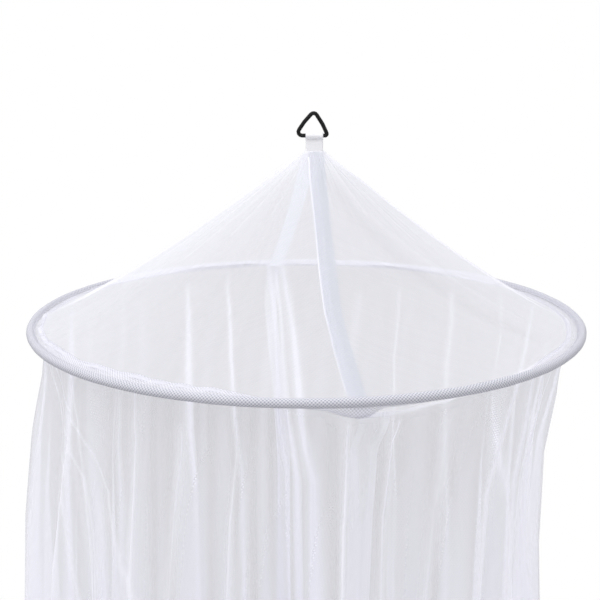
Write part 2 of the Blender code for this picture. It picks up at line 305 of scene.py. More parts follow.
ROOF_CREASES = [
    Crease(-97, -100, 0.02, 1.00, 0.0030, 0.0022, 0.35),
    Crease(-90, -94, 0.10, 1.00, 0.0020, 0.0020, 0.25),
    Crease(89, 90, 0.05, 1.00, 0.0026, 0.0022, 0.35),
    Crease(97, 97, 0.20, 1.00, 0.0018, 0.0020, 0.20),
    # A soft trough from the apex down to the right, with the net thinned along it: its darker band is
    # painted shade, a shadow across the roof.
    Crease(24, 62, 0.03, 0.97, -0.0014, 0.0140, -0.12),
    Crease(32, 70, 0.03, 0.90, 0.0016, 0.0060, 0.07),
    Crease(-40, -44, 0.00, 0.40, 0.0008, 0.0020, 0.12),
    Crease(-52, -57, 0.00, 0.55, -0.0009, 0.0030, 0.10),
    Crease(-63, -66, 0.00, 0.35, 0.0009, 0.0022, 0.14),
    Crease(-74, -78, 0.00, 0.60, -0.0008, 0.0040, 0.10),
    Crease(-25, -27, 0.00, 0.30, 0.0007, 0.0020, 0.10),
    Crease(38, 40, 0.00, 0.30, 0.0007, 0.0020, 0.10),
    Crease(58, 60, 0.00, 0.45, 0.0007, 0.0026, 0.10),
    Crease(120, 124, 0.02, 0.70, -0.0014, 0.0060, 0.06),
    Crease(152, 150, 0.02, 0.60, 0.0012, 0.0040, 0.10),
    Crease(-122, -120, 0.02, 0.70, -0.0014, 0.0060, 0.06),
    Crease(-150, -148, 0.02, 0.50, 0.0012, 0.0040, 0.10),
]


# ---------------------------------------------------------------------------------------------
# Small helpers.


def ease(share: Grid) -> Grid:
    """A share from 0 to 1 that starts and stops softly."""
    share = np.clip(share, 0.0, 1.0)
    return share * share * (3 - 2 * share)


def off_azimuth(azimuth: Grid, centre: float) -> Grid:
    """How many degrees azimuths lie off a centre, from -180 to 180."""
    return (np.asarray(azimuth, float) - centre + 180.0) % 360.0 - 180.0


def around(azimuth: Grid, column: str) -> Grid:
    """Reads a column of SEAMS softly between its rows, all the way round.

    Args:
        azimuth: Azimuths in degrees.
        column: The column's name.

    Returns:
        The column's value at each azimuth.
    """
    places = np.array([row.azimuth for row in SEAMS] + [SEAMS[0].azimuth + 360.0])
    values = np.array([getattr(row, column) for row in SEAMS] + [getattr(SEAMS[0], column)])
    turned = (np.asarray(azimuth, float) - places[0]) % 360 + places[0]
    row = np.clip(np.searchsorted(places, turned, side="right") - 1, 0, len(SEAMS) - 1)
    share = ease((turned - places[row]) / (places[row + 1] - places[row]))
    return values[row] + (values[row + 1] - values[row]) * share


def down(drop: Grid, column: str) -> Grid:
    """Reads a column of LEVELS between its rows, and level above the first of them."""
    return np.interp(drop, [row.drop for row in LEVELS], [getattr(row, column) for row in LEVELS])


def to_linear(code: str) -> tuple[float, float, float, float]:
    """Turns an sRGB hex colour into linear light.

    Args:
        code: Six hex digits after a hash sign.

    Returns:
        The colour as linear red, green, blue and an alpha of 1.
    """
    parts = [int(code[i : i + 2], 16) / 255 for i in (1, 3, 5)]
    linear = [p / 12.92 if p <= 0.04045 else ((p + 0.055) / 1.055) ** 2.4 for p in parts]
    return (linear[0], linear[1], linear[2], 1.0)


class Sketch:
    """The nodes of one material or of the surround, added one by one."""

    def __init__(self, tree: bpy.types.NodeTree) -> None:
        """Starts on a node tree.

        Args:
            tree: The tree, which is emptied.
        """
        self.tree = tree
        tree.nodes.clear()

    @classmethod
    def material(cls, name: str) -> tuple[bpy.types.Material, "Sketch"]:
        """Makes a new material.

        Args:
            name: The material's name.

        Returns:
            The material and the sketch of its nodes.
        """
        made = bpy.data.materials.new(name)
        made.use_nodes = True
        return made, cls(made.node_tree)

    def node(self, kind: str, inputs: Optional[dict[Any, Any]] = None, **settings: Any) -> bpy.types.Node:
        """Adds a node.

        Args:
            kind: The node's type name after "ShaderNode".
            inputs: Values or sockets for its inputs, by name or number.
            settings: Attributes of the node.

        Returns:
            The new node.
        """
        node = self.tree.nodes.new("ShaderNode" + kind)
        for name, value in settings.items():
            setattr(node, name, value)
        for socket, value in (inputs or {}).items():
            if isinstance(value, Socket):
                self.tree.links.new(value, node.inputs[socket])
            else:
                node.inputs[socket].default_value = value
        return node

    def math(self, operation: str, *inputs: Any, clamp: bool = False) -> Socket:
        """Works out one operation on values or sockets."""
        return self.node("Math", dict(enumerate(inputs)), operation=operation, use_clamp=clamp).outputs[0]

    def ramp(self, source: Socket, low: float, high: float, start: Any, end: Any) -> Socket:
        """Maps the range from low to high onto the one from start to end."""
        return self.node("MapRange", {0: source, 1: low, 2: high, 3: start, 4: end}).outputs[0]

    def waves(self, uv: Socket, operation: str, counts: list[tuple[float, float]]) -> list[Socket]:
        """Draws waves over a cloth.

        Args:
            uv: The cloth's UV map, in metres.
            operation: "SINE" or "COSINE".
            counts: For each wave, the radians it turns by in a metre of U and in a metre of V.

        Returns:
            One socket a wave.
        """
        found = []
        for along, down_cloth in counts:
            turned = self.node("VectorMath", {0: uv, 1: (along, down_cloth, 0.0)}, operation="DOT_PRODUCT")
            found.append(self.math(operation, turned.outputs["Value"]))
        return found

    def cloth_uv(self) -> Socket:
        """The cloth's own UV map, in metres."""
        return self.node("UVMap", uv_map="cloth").outputs[0]

    def gather(self) -> Socket:
        """The cloth's attribute that says how dense it lies, from 0 to 1."""
        return self.node("Attribute", attribute_name="gather").outputs["Fac"]

    def tone(self, share: Socket, first: str, second: str) -> Socket:
        """A colour between two hex colours."""
        mixed = self.node("Mix", {0: share, 6: to_linear(first), 7: to_linear(second)}, data_type="RGBA")
        return mixed.outputs[2]

    def relief(self, height: Socket, strength: float, depth_mm: float, invert: bool = False) -> Socket:
        """A surface's normal with a fine relief in it."""
        values = {"Height": height, "Strength": strength, "Distance": depth_mm / 1000}
        return self.node("Bump", values, invert=invert).outputs[0]

    def blend(self, share: Any, first: Socket, second: Socket) -> Socket:
        """Two shaders in one."""
        return self.node("MixShader", {0: share, 1: first, 2: second}).outputs[0]

    def fibre(self, colour: Any, glow: Any, through: float, surface: dict[str, Any]) -> Socket:
        """Draws fibre that lets some light through.

        Args:
            colour: Its colour where light falls on it.
            glow: Its colour where light comes through it.
            through: How much of what is seen comes through it.
            surface: Further inputs of its surface.

        Returns:
            The shader's socket.
        """
        face = self.node("BsdfPrincipled", {"Base Color": colour, **surface}).outputs[0]
        return self.blend(through, face, self.node("BsdfTranslucent", {"Color": glow}).outputs[0])

    def open_work(self, cover: Socket, fibre: Socket) -> Socket:
        """Lets the background through the share of a cloth that its fibre does not cover."""
        return self.blend(cover, self.node("BsdfTransparent").outputs[0], fibre)

    def show(self, shader: Socket) -> None:
        """Makes a shader the material's surface."""
        self.node("OutputMaterial", {"Surface": shader})


# ---------------------------------------------------------------------------------------------
# Finishes.


@dataclass(frozen=True)
class KnittedNet:
    """White 75-denier polyester warp knit, heat-set into hexagonal holes.

    The yarn is matt white and lets light through it. Where the net bunches up its threads close
    in, so it is denser there.
    """

    name: str = "white_polyester_net"
    colour: str = "#F3F3F8"
    glow: str = "#EFEFF8"
    through: float = 0.45
    cover: float = 0.235  # share of the cloth that is yarn, as the eye takes it in
    bunched: float = 0.90  # more cover where a fold's flank bunches up
    pitch_mm: float = 3.1  # the real holes are 1.6 mm, too fine to show, so they are drawn coarser
    hole_contrast: float = 0.005
    streak: float = 0.006
    streak_mm: tuple[float, float] = (6.25, 200.0)  # breadth and length of the knit's faint streaks

    def make(self) -> bpy.types.Material:
        """Builds the material.

        Returns:
            A material whose cover follows the knit, the bunching and faint lengthwise streaks.
        """
        material, sketch = Sketch.material(self.name)
        matt = {"Roughness": 0.85, "Specular IOR Level": 0.2}
        fibre = sketch.fibre(to_linear(self.colour), to_linear(self.glow), self.through, matt)
        sketch.show(sketch.open_work(self._cover(sketch), fibre))
        return material

    def _cover(self, sketch: Sketch) -> Socket:
        """Adds up the share of the cloth that is yarn.

        Args:
            sketch: The material's nodes.

        Returns:
            The socket that carries the cover.
        """
        uv = sketch.cloth_uv()
        count = 2 * math.pi / (self.pitch_mm / 1000 * math.cos(math.radians(30)))
        angles = [math.radians(angle) for angle in (90.0, 30.0, 150.0)]
        waves = sketch.waves(uv, "COSINE", [(math.cos(a) * count, math.sin(a) * count) for a in angles])
        hexagons = sketch.math("ADD", sketch.math("ADD", waves[0], waves[1]), waves[2])
        yarn, hole = self.cover + self.hole_contrast, self.cover - 2 * self.hole_contrast
        knit = sketch.ramp(hexagons, -1.5, 3.0, yarn, hole)
        scale = (1000 / self.streak_mm[0], 1000 / self.streak_mm[1], 1.0)
        stretched = sketch.node("Mapping", {0: uv, "Scale": scale}).outputs[0]
        noise = {0: stretched, "Scale": 1.0, "Detail": 3.0, "Roughness": 0.6}
        streak = sketch.ramp(sketch.node("TexNoise", noise).outputs[0], 0.3, 0.7, -self.streak, self.streak)
        bunched = sketch.math("MULTIPLY_ADD", sketch.gather(), self.bunched, knit)
        return sketch.math("ADD", bunched, streak, clamp=True)


@dataclass(frozen=True)
class CoarseMesh:
    """Coarse white warp-knit mesh, stiff and open, with a lattice of small round holes."""

    name: str = "coarse_white_mesh"
    colour: str = "#DCDCE3"
    rod_grey_in_painted_shade: str = "#A0A2AF"  # the rod's grey seen through the holes, darkened with painted shade
    pitch_mm: float = 2.4
    cover: float = 0.97  # where it lies round the rod
    single_cover: float = 0.62  # where it stands free as the seam
    hole_cover: float = 0.20
    through: float = 0.25

    def make(self) -> bpy.types.Material:
        """Builds the material, with the lattice in colour, cover and relief, and painted shade in the holes
        over the rod.

        Returns:
            The new material.
        """
        material, sketch = Sketch.material(self.name)
        count = 2 * math.pi / (self.pitch_mm / 1000 * math.sqrt(2))
        waves = sketch.waves(sketch.cloth_uv(), "COSINE", [(count, count), (count, -count)])
        lattice = sketch.ramp(sketch.math("ADD", *waves), -0.6, 1.3, 0.0, 1.0)
        layered = sketch.gather()
        # Over the rod the holes take a darker grey than the rod itself: painted shade in the holes.
        tone = sketch.tone(sketch.math("MULTIPLY", lattice, layered), self.colour, self.rod_grey_in_painted_shade)
        relief = sketch.relief(lattice, 0.35, 0.4, invert=True)
        matt = {"Roughness": 0.75, "Specular IOR Level": 0.3, "Normal": relief}
        thread = sketch.ramp(layered, 0.0, 1.0, self.single_cover, self.cover)
        hole = sketch.ramp(layered, 0.0, 1.0, self.hole_cover, self.cover)
        cover = sketch.ramp(lattice, 0.0, 1.0, thread, hole)
        sketch.show(sketch.open_work(cover, sketch.fibre(tone, tone, self.through, matt)))
        return material


@dataclass(frozen=True)
class WovenBand:
    """White polyester binding or webbing, plain woven: fine ribs across, a soft sheen."""

    name: str
    colour: str
    shade: str
    thread_mm: float
    relief_mm: float
    glow: float
    weft_share: float = 0.6  # weft threads for each warp thread

    def make(self) -> bpy.types.Material:
        """Builds the material, with warp and weft drawn as crossed waves.

        Returns:
            The new material.
        """
        material, sketch = Sketch.material(self.name)
        count = 2 * math.pi / (self.thread_mm / 1000)
        counts = [(count, 0.0), (0.0, count * self.weft_share)]
        weave = sketch.math("MULTIPLY", *sketch.waves(sketch.cloth_uv(), "SINE", counts))
        share = sketch.ramp(weave, -1.0, 1.0, 0.0, 1.0)
        tone = sketch.tone(share, self.shade, self.colour)
        sheen = {"Roughness": 0.7, "Sheen Weight": 0.2, "Sheen Roughness": 0.5}
        sheen["Normal"] = sketch.relief(share, 0.7, self.relief_mm)
        sketch.show(sketch.fibre(tone, tone, self.glow, sheen))
        return material


@dataclass(frozen=True)
class MouldedPlastic:
    """Injection-moulded acetal or nylon: even colour, a satin gloss and a faint orange peel."""

    name: str
    colour: str
    roughness: float
    grain_mm: float = 0.9
    unevenness: float = 0.06

    def make(self) -> bpy.types.Material:
        """Builds the material, with the mould's fine texture in roughness and relief.

        Returns:
            The new material.
        """
        material, sketch = Sketch.material(self.name)
        place = sketch.node("TexCoord").outputs["Object"]
        noise = {0: place, "Scale": 1000 / self.grain_mm, "Detail": 2.0}
        grain = sketch.node("TexNoise", noise).outputs[0]
        rougher, smoother = self.roughness + self.unevenness, self.roughness - self.unevenness
        shell = {
            "Base Color": to_linear(self.colour),
            "Specular IOR Level": 0.2,
            "Roughness": sketch.ramp(grain, 0.3, 0.7, smoother, rougher),
            "Normal": sketch.relief(grain, 0.25, 0.2),
        }
        sketch.show(sketch.node("BsdfPrincipled", shell).outputs[0])
        return material


class Finish(Enum):
    """The canopy's finishes."""

    NET = KnittedNet()
    SLEEVE = CoarseMesh()
    # One white binding tape in two colours: the front copy's grey is painted shade, and the back copy's
    # lighter tone is painted light.
    TAPE = WovenBand("white_binding_tape_painted_shade", "#BDC0C7", "#B1B4BC", 1.1, 0.15, 0.30)
    BACK_TAPE = WovenBand("white_binding_tape_painted_lit", "#E4E6EB", "#D9DCE2", 1.1, 0.15, 0.45)
    WEBBING = WovenBand("white_webbing", "#FAFAFC", "#DCDCE2", 1.6, 0.30, 0.10)
    RING = MouldedPlastic("black_moulded_plastic", "#060608", 0.40)
    ROD = MouldedPlastic("pale_plastic_rod", "#B9B9BF", 0.50, 2.0)

    def material(self) -> bpy.types.Material:
        """The finish's material, built once."""
        made = bpy.data.materials.get(self.value.name)
        return made or self.value.make()


# ---------------------------------------------------------------------------------------------
# Sheets.


def sheet_object(name: str, points: Grid, finish: Finish, closed: bool = False) -> bpy.types.Object:
    """Makes one cloth surface over a grid of points.

    Its UV map "cloth" is in metres along the rows and down the columns.

    Args:
        name: The piece's name.
        points: Rows by columns by 3.
        finish: What it is made of.
        closed: Whether the last column joins the first.

    Returns:
        The new object, at the origin.
    """
    rows, columns = points.shape[:2]
    mesh = bpy.data.meshes.new(name)
    index = np.arange(rows * columns).reshape(rows, columns)
    wide = columns if closed else columns - 1
    ahead = np.roll(index, -1, axis=1)[:, :wide]
    here = index[:, :wide]
    faces = np.stack([here[:-1], here[1:], ahead[1:], ahead[:-1]], axis=-1).reshape(-1, 4)
    mesh.from_pydata(points.reshape(-1, 3).tolist(), [], faces.tolist())
    lengths = lengths_of(points)
    corner_rows, corner_columns = np.divmod(faces, columns)
    along = lengths[0][corner_rows, corner_columns]
    if closed:
        last = (corner_columns == 0) & (corner_columns[:, :1] == columns - 1)
        round_steps = np.linalg.norm(points - np.roll(points, 1, axis=1), axis=-1)
        along = np.where(last, columns, corner_columns) * round_steps.mean()
    uv = np.stack([along, lengths[1][corner_rows, corner_columns]], axis=-1)
    layer = mesh.uv_layers.new(name="cloth")
    layer.data.foreach_set("uv", uv.astype(np.float32).ravel())
    mesh.polygons.foreach_set("use_smooth", [True] * len(mesh.polygons))
    mesh.materials.append(finish.material())
    mesh.update()
    thing = bpy.data.objects.new(name, mesh)
    bpy.context.scene.collection.objects.link(thing)
    return thing


def lengths_of(points: Grid) -> tuple[Grid, Grid]:
    """Measures a grid of points.

    Args:
        points: Rows by columns by 3.

    Returns:
        For each point, its length along its row from the middle, and its length down from the top.
    """
    steps = np.linalg.norm(np.diff(points, axis=1), axis=-1)
    along = np.concatenate([np.zeros((len(points), 1)), np.cumsum(steps, axis=1)], axis=1)
    along -= along[:, along.shape[1] // 2][:, None]
    falls = np.linalg.norm(np.diff(points, axis=0), axis=-1).mean(axis=1)
    fall = np.concatenate([[0.0], np.cumsum(falls)])
    return along, np.repeat(fall[:, None], points.shape[1], axis=1)


def store(thing: bpy.types.Object, name: str, values: Grid) -> None:
    """Keeps a number for each of a piece's points as an attribute."""
    attribute = thing.data.attributes.new(name, "FLOAT", "POINT")
    attribute.data.foreach_set("value", values.astype(np.float32).ravel())


def area_of(points: Grid, closed: bool = False) -> float:
    """The area of a grid of points.

    Args:
        points: Rows by columns by 3.
        closed: Whether the last column joins the first.

    Returns:
        The area in square metres.
    """
    if closed:
        points = np.concatenate([points, points[:, :1]], axis=1)
    across = points[1:, 1:] - points[:-1, :-1]
    other = points[1:, :-1] - points[:-1, 1:]
    return float(np.linalg.norm(np.cross(across, other), axis=-1).sum() / 2)


# ---------------------------------------------------------------------------------------------
# The canopy's own shape.


@dataclass
class HoopFrame:
    """The hoop and its sleeve's seam, which everything else hangs from."""

    centre: Vector
    radius: float
    tube: float = 0.00475
    ruffle_pull: float = 0.35  # how far a ruffle draws the raw edge in, for each metre it stands up

    @classmethod
    def from_frame(cls) -> "HoopFrame":
        """Reads the hoop's place and size from its CAD node.

        Returns:
            The hoop's frame.
        """
        low, high = (Vector(corner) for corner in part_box("hoop"))
        rod = (high.z - low.z) / 2
        return cls(centre=(low + high) / 2, radius=(high.x - low.x) / 2 - rod)

    def place(self, azimuth: Grid, radius: Grid, height: Grid, shift: Grid = 0.0) -> Grid:
        """Points by azimuth, radius and height from the hoop's centre.

        Args:
            azimuth: Azimuths in degrees.
            radius: Distances from the hoop's axis.
            height: Heights above the hoop.
            shift: How far the points' own axis lies to the right of the hoop's.

        Returns:
            The points, with a last axis of 3.
        """
        turn = np.radians(azimuth)
        x = self.centre.x + radius * np.sin(turn) + shift
        y = self.centre.y - radius * np.cos(turn)
        return np.stack(np.broadcast_arrays(x, y, self.centre.z + height), axis=-1)

    def seam(self, azimuth: Grid, along: Grid, above: Grid) -> tuple[Grid, Grid]:
        """Radius and height of places beside the sleeve's seam.

        Args:
            azimuth: Azimuths in degrees.
            along: Distances out of the tube's middle along the seam.
            above: Distances above the seam's middle.

        Returns:
            Radii from the hoop's axis, and heights above the hoop.
        """
        turn = np.radians(around(azimuth, "turn"))
        radius = self.radius - np.cos(turn) * along + np.sin(turn) * above
        return radius, np.sin(turn) * along + np.cos(turn) * above

    def edge(self, azimuth: Grid, beyond: Grid, above: Grid) -> tuple[Grid, Grid]:
        """Radius and height of places beyond the seam's raw edge, its ruffles included."""
        reach, lift = self.raw_edge(azimuth)
        return self.seam(azimuth, reach + beyond, lift + above)

    def raw_edge(self, azimuth: Grid) -> tuple[Grid, Grid]:
        """Finds the seam's raw edge.

        Args:
            azimuth: Azimuths in degrees.

        Returns:
            How far the edge stands out of the tube's middle, and how far it ruffles up.
        """
        width = around(azimuth, "width")
        lift = np.zeros_like(np.asarray(azimuth, float))
        for ruffle in RUFFLES:
            off = off_azimuth(azimuth, ruffle.azimuth)
            lift = lift + ruffle.lift * np.exp(-((off / ruffle.breadth) ** 2))
        return self.tube + width - np.abs(lift) * self.ruffle_pull, lift


@dataclass
class WallShape:
    """Where the wall's cloth lies, by azimuth and drop below the hoop."""

    hoop: HoopFrame
    drop: float
    top_depth: float = 0.003
    tallest: float = 1.05  # stand of a crest that would reach the outer line
    roundness: float = 0.055  # how much rounder the folds are at the hem than at the hoop
    lap_at_hoop: float = 0.003
    lap_at_hem: float = 0.009
    layer: float = 0.0014  # how far a pleat stands off the wall
    turn: float = 0.22  # how far a pleat draws the cloth sideways, as a share of its half-width
    back_lean: float = 4.0  # the panels' back edges slant this many degrees as they fall
    bulge: float = 0.009
    bulge_azimuth: float = -90.0
    bulge_breadth: float = 26.0
    per_fold: int = 40

    def fold_line(self, drop: float) -> tuple[Grid, Grid, Grid]:
        """The folds at one drop, sampled closely from one fold before the first to one after.

        Args:
            drop: Drop below the hoop.

        Returns:
            Azimuths in degrees, positions in folds, and how far the cloth sinks below the crests.
        """
        count = len(FOLDS)
        position = np.linspace(-1.5, count + 1.5, (count + 3) * self.per_fold + 1)
        index = np.floor(position).astype(int)
        phase = position - index
        share = drop / self.drop
        this, after = self._crest(index, share), self._crest(index + 1, share)
        drawn = phase + self.roundness * share * np.sin(4 * np.pi * phase)
        azimuth = this + (after - this) * drawn
        stands = np.array([fold.stand for fold in FOLDS])
        valleys = np.array([fold.valley for fold in FOLDS])
        blend = ease(phase)
        stand = stands[index % count] * (1 - blend) + stands[(index + 1) % count] * blend
        depth = down(drop, "depth")
        if drop < LEVELS[0].drop:
            depth = self.top_depth + (depth - self.top_depth) * max(drop, 0.0) / LEVELS[0].drop
        sink = depth * (self.tallest - stand)
        sink = sink + depth * valleys[index % count] * (1 - np.cos(2 * np.pi * phase)) / 2
        return azimuth, position, sink

    def _crest(self, index: Grid, share: float) -> Grid:
        """Finds fold crests.

        Args:
            index: The folds' numbers, which may run past either end of FOLDS.
            share: A share of the way down the wall.

        Returns:
            The crests' azimuths in degrees.
        """
        laps, row = np.divmod(index, len(FOLDS))
        hoop = np.array([fold.hoop for fold in FOLDS])
        hem = np.array([fold.hem for fold in FOLDS])
        return 360.0 * laps + hoop[row] + (hem[row] - hoop[row]) * share

    def left_bulge(self, azimuth: Grid, drop: float) -> Grid:
        """Works out how far the net stands out on the left, where it was pushed out in hanging.

        Args:
            azimuth: Azimuths in degrees.
            drop: Drop below the hoop.

        Returns:
            Distances outward.
        """
        away = off_azimuth(azimuth, self.bulge_azimuth)
        grown = ease(np.array(drop / 0.15)) * (1 - ease(np.array((drop - 0.4) / 0.8)))
        return self.bulge * np.exp(-((away / self.bulge_breadth) ** 2)) * grown

    def azimuth_at(self, position: float, drop: float) -> float:
        """The azimuth of a position in folds at one drop."""
        azimuth, positions, _ = self.fold_line(drop)
        return float(np.interp(position, positions, azimuth))

    def edge_azimuth(self, position: float, drop: float) -> float:
        """Follows a panel's edge, which hangs straight down while the wall drifts left.

        Args:
            position: The edge's position, counted in folds.
            drop: Drop below the hoop.

        Returns:
            The edge's azimuth in degrees.
        """
        azimuth = self.azimuth_at(position, drop)
        drift = down(drop, "shift") * math.cos(math.radians(azimuth)) / down(drop, "crest")
        at_back = position < 0 or position > len(FOLDS)
        lean = self.back_lean * float(ease(np.array(drop / PLEAT_LOW))) if at_back else 0.0
        return azimuth - math.degrees(float(drift)) - lean

    def pleat_azimuth(self, pleat: Pleat | Crossing, drop: float) -> float:
        """Follows a pleat: by its table, and further down along with the folds.

        Args:
            pleat: The pleat.
            drop: Drop below the hoop.

        Returns:
            The pleat's azimuth in degrees.
        """
        path = ([0.0, PLEAT_MIDDLE, PLEAT_LOW], [pleat.top, pleat.middle, pleat.low])
        if drop <= PLEAT_LOW:
            return float(np.interp(drop, *path))
        azimuth, positions, _ = self.fold_line(PLEAT_LOW)
        held = float(np.interp(pleat.low, azimuth, positions))
        return self.azimuth_at(held, drop)


@dataclass
class WallPanel:
    """One hanging panel of the wall, with its pleats, gathers and hems."""

    name: str
    shape: WallShape
    start: float  # its edges are at these positions, counted in folds
    end: float
    inner: float  # 1 where its edges lie inside the other panel's, or else 0
    fine: tuple[float, float]  # its columns lie closest between these azimuths
    columns: int = 220
    fine_step: float = 0.25
    pleat_columns: int = 9
    pleat_reach: float = 2.6  # half-widths to each side of a pleat that its columns take up
    least_step: float = 0.09
    near: tuple[float, int] = (0.20, 73)  # the rows' drops and how many they are
    middle: tuple[float, int] = (0.42, 27)
    low_rows: int = 42
    low_spread: float = 1.15
    edge_room: float = 0.8  # degrees that pleats keep off the panel's edges
    pleat_room: float = 0.5  # degrees that pleats keep off each other
    top_room: float = 0.6  # a pleat that starts nearer to an edge than this is the other panel's
    lap_from: float = 1 / 3  # the two panels lap over each other by a third of a fold
    under_seam: float = 0.0012
    tucked: tuple[float, ...] = (-0.005, -0.002, 0.0003)  # rows held in the seam
    tuck: float = -0.0003
    hem: float = 0.016
    hem_gap: float = 0.0013
    hem_white: float = 0.25
    side_hem: float = 0.007
    side_blur: float = 0.002
    side_white: float = 0.13
    edge_white: float = 0.5
    top_white: float = 0.12
    top_fade: float = 0.006
    pleat_blur: float = 1.1
    gathers: float = 0.0006
    gathers_fade: float = 0.07
    unevenness: float = 0.0012
    flat: tuple[float, float] = (3.2, 2.2)

    def drops(self) -> Grid:
        """Spaces the rows below the seam, close together near the hoop.

        Returns:
            Their drops below the hoop.
        """
        near = np.linspace(0.0, *self.near)[1:]
        middle = np.linspace(self.near[0], *self.middle)[1:]
        shares = np.linspace(0.0, 1.0, self.low_rows)[1:] ** self.low_spread
        low = self.middle[0] + (self.shape.drop - self.middle[0]) * shares
        return np.concatenate([near, middle, low])

    def anchors(self, drop: float) -> Grid:
        """Finds the places that the panel's columns keep to.

        Args:
            drop: Drop below the hoop.

        Returns:
            Azimuths of its left edge, its pleats and its right edge.
        """
        left = self.shape.edge_azimuth(self.start, drop)
        right = self.shape.edge_azimuth(self.end, drop)
        pleats = [self.shape.pleat_azimuth(pleat, drop) for pleat in self.pleats()]
        inside = np.clip(pleats, left + self.edge_room, right - self.edge_room)
        for i in range(1, len(inside)):
            inside[i] = max(inside[i], inside[i - 1] + self.pleat_room)
        return np.array([left, *inside, right])

    def pleats(self) -> list[Pleat]:
        """Picks the panel's own pleats.

        Returns:
            The pleats in order of their azimuth at the hoop.
        """
        low = self.shape.azimuth_at(self.start, 0.0)
        high = self.shape.azimuth_at(self.end, 0.0)
        own = [pleat for pleat in PLEATS if low + self.top_room < pleat.top < high - self.top_room]
        return sorted(own, key=lambda pleat: pleat.top)

    def crossings(self) -> list[Crossing]:
        """The slanting folds that lie on this panel."""
        low, high = self.anchors(0.0)[[0, -1]]
        return [fold for fold in CROSSINGS if low < fold.top < high]

    def labels(self) -> Grid:
        """Spaces the columns, close together across each pleat.

        Returns:
            The columns' azimuths at the hoop.
        """
        tops = self.anchors(0.0)
        spots = [np.linspace(tops[0], tops[-1], self.columns)]
        spots.append(np.arange(*self.fine, self.fine_step))
        for pleat, top in zip(self.pleats(), tops[1:-1]):
            reach = math.degrees(self.pleat_reach * pleat.wide / self.shape.hoop.radius)
            spots.append(top + np.linspace(-reach, reach, self.pleat_columns))
        merged = np.sort(np.concatenate(spots))
        merged = merged[(merged >= tops[0]) & (merged <= tops[-1])]
        keep = np.concatenate([[True], np.diff(merged) > self.least_step])
        return merged[keep]

    def row(self, labels: Grid, drop: float, blend: Optional[float] = None) -> Grid:
        """The panel's points at one drop.

        Args:
            labels: The columns' azimuths at the hoop.
            drop: The row's drop below the hoop.
            blend: For rows above the first level, their share of the way down to it.

        Returns:
            The row's points, one for each column.
        """
        shape = self.shape
        azimuth = np.interp(labels, self.anchors(0.0), self.anchors(drop))
        line, positions, sinks = shape.fold_line(drop)
        sink = np.interp(azimuth, line, sinks)
        position = np.interp(azimuth, line, positions)
        inside = np.minimum(position - self.start, self.end - position) - self.lap_from
        lap = shape.lap_at_hoop + (shape.lap_at_hem - shape.lap_at_hoop) * drop / shape.drop
        lap = lap * self.inner * np.clip(1 - inside, 0.0, 1.0)
        radius = down(drop, "crest") - sink - lap + shape.left_bulge(azimuth, drop)
        shift = down(drop, "shift") + 0.0 * azimuth
        height = -drop + 0.0 * azimuth
        azimuth, radius = self._pleated(azimuth, radius, drop)
        radius = radius + self._gathers(azimuth, drop)
        if blend is not None:
            top_radius, top_height = shape.hoop.edge(azimuth, self.under_seam, -self.under_seam)
            share = float(ease(np.array(blend)))
            radius = top_radius - lap + (radius - top_radius + lap) * share
            shift = shift * share
            height = top_height + (-LEVELS[0].drop - top_height) * blend
        return shape.hoop.place(azimuth, radius, height, shift)

    def _pleated(self, azimuth: Grid, radius: Grid, drop: float) -> tuple[Grid, Grid]:
        """Lays the pleats over: moves points along the wall and a layer in or out.

        Args:
            azimuth: The columns' azimuths.
            radius: Their distances from the axis.
            drop: Drop below the hoop.

        Returns:
            The new azimuths and distances.
        """
        turned, moved = azimuth.copy(), radius.copy()
        for pleat in self.pleats():
            strength, width, across = self._across(pleat, azimuth, radius, drop)
            if strength <= 0:
                continue
            push = across / width * np.exp(0.5 - (across / width) ** 2 / 2)
            turned -= np.degrees(self.shape.turn * strength * width * push / radius)
            moved += pleat.side * self.shape.layer * strength * push
        return turned, moved

    def _across(
        self, pleat: Pleat | Crossing, azimuth: Grid, radius: Grid, drop: float
    ) -> tuple[float, float, Grid]:
        """Where a pleat lies at one drop.

        Args:
            pleat: The pleat.
            azimuth: The columns' azimuths.
            radius: Their distances from the axis.
            drop: The drop below the hoop.

        Returns:
            The pleat's strength, which fades in and out, its half-width, and how far each column
            lies across it.
        """
        fade_in = ease(np.array((drop - 0.4 * pleat.start) / 0.012 + 0.4))
        fade_out = 1 - ease(np.array((drop - 0.6 * pleat.end) / (0.8 * pleat.end)))
        widths = [pleat.narrow, pleat.wide, pleat.wide * 1.6]
        width = float(np.interp(drop, [0.0, PLEAT_LOW, 1.0], widths))
        centre = self.shape.pleat_azimuth(pleat, drop)
        return float(fade_in * fade_out), width, np.radians(azimuth - centre) * radius

    def whiteness(self, labels: Grid, drop: float) -> Grid:
        """Works out how much denser the cloth looks in its pleats, in its hems and at the sides.

        Args:
            labels: The columns' azimuths at the hoop.
            drop: The row's drop below the hoop.

        Returns:
            A share of cover to add, for each column.
        """
        azimuth = np.interp(labels, self.anchors(0.0), self.anchors(drop))
        radius = down(drop, "crest") + 0.0 * azimuth
        white = self.side_white * np.abs(np.sin(np.radians(azimuth))) ** 3
        for pleat in [*self.pleats(), *self.crossings()]:
            strength, width, across = self._across(pleat, azimuth, radius, drop)
            white = white + pleat.white * strength * np.exp(-((across / (self.pleat_blur * width)) ** 2))
        edges = self.anchors(drop)[[0, -1]]
        side = np.radians(np.abs(azimuth[:, None] - edges).min(axis=1)) * radius
        white = white + self.hem_white * ease((self.side_hem - side) / self.side_blur + 1)
        return white + self.top_white * math.exp(-drop / self.top_fade)

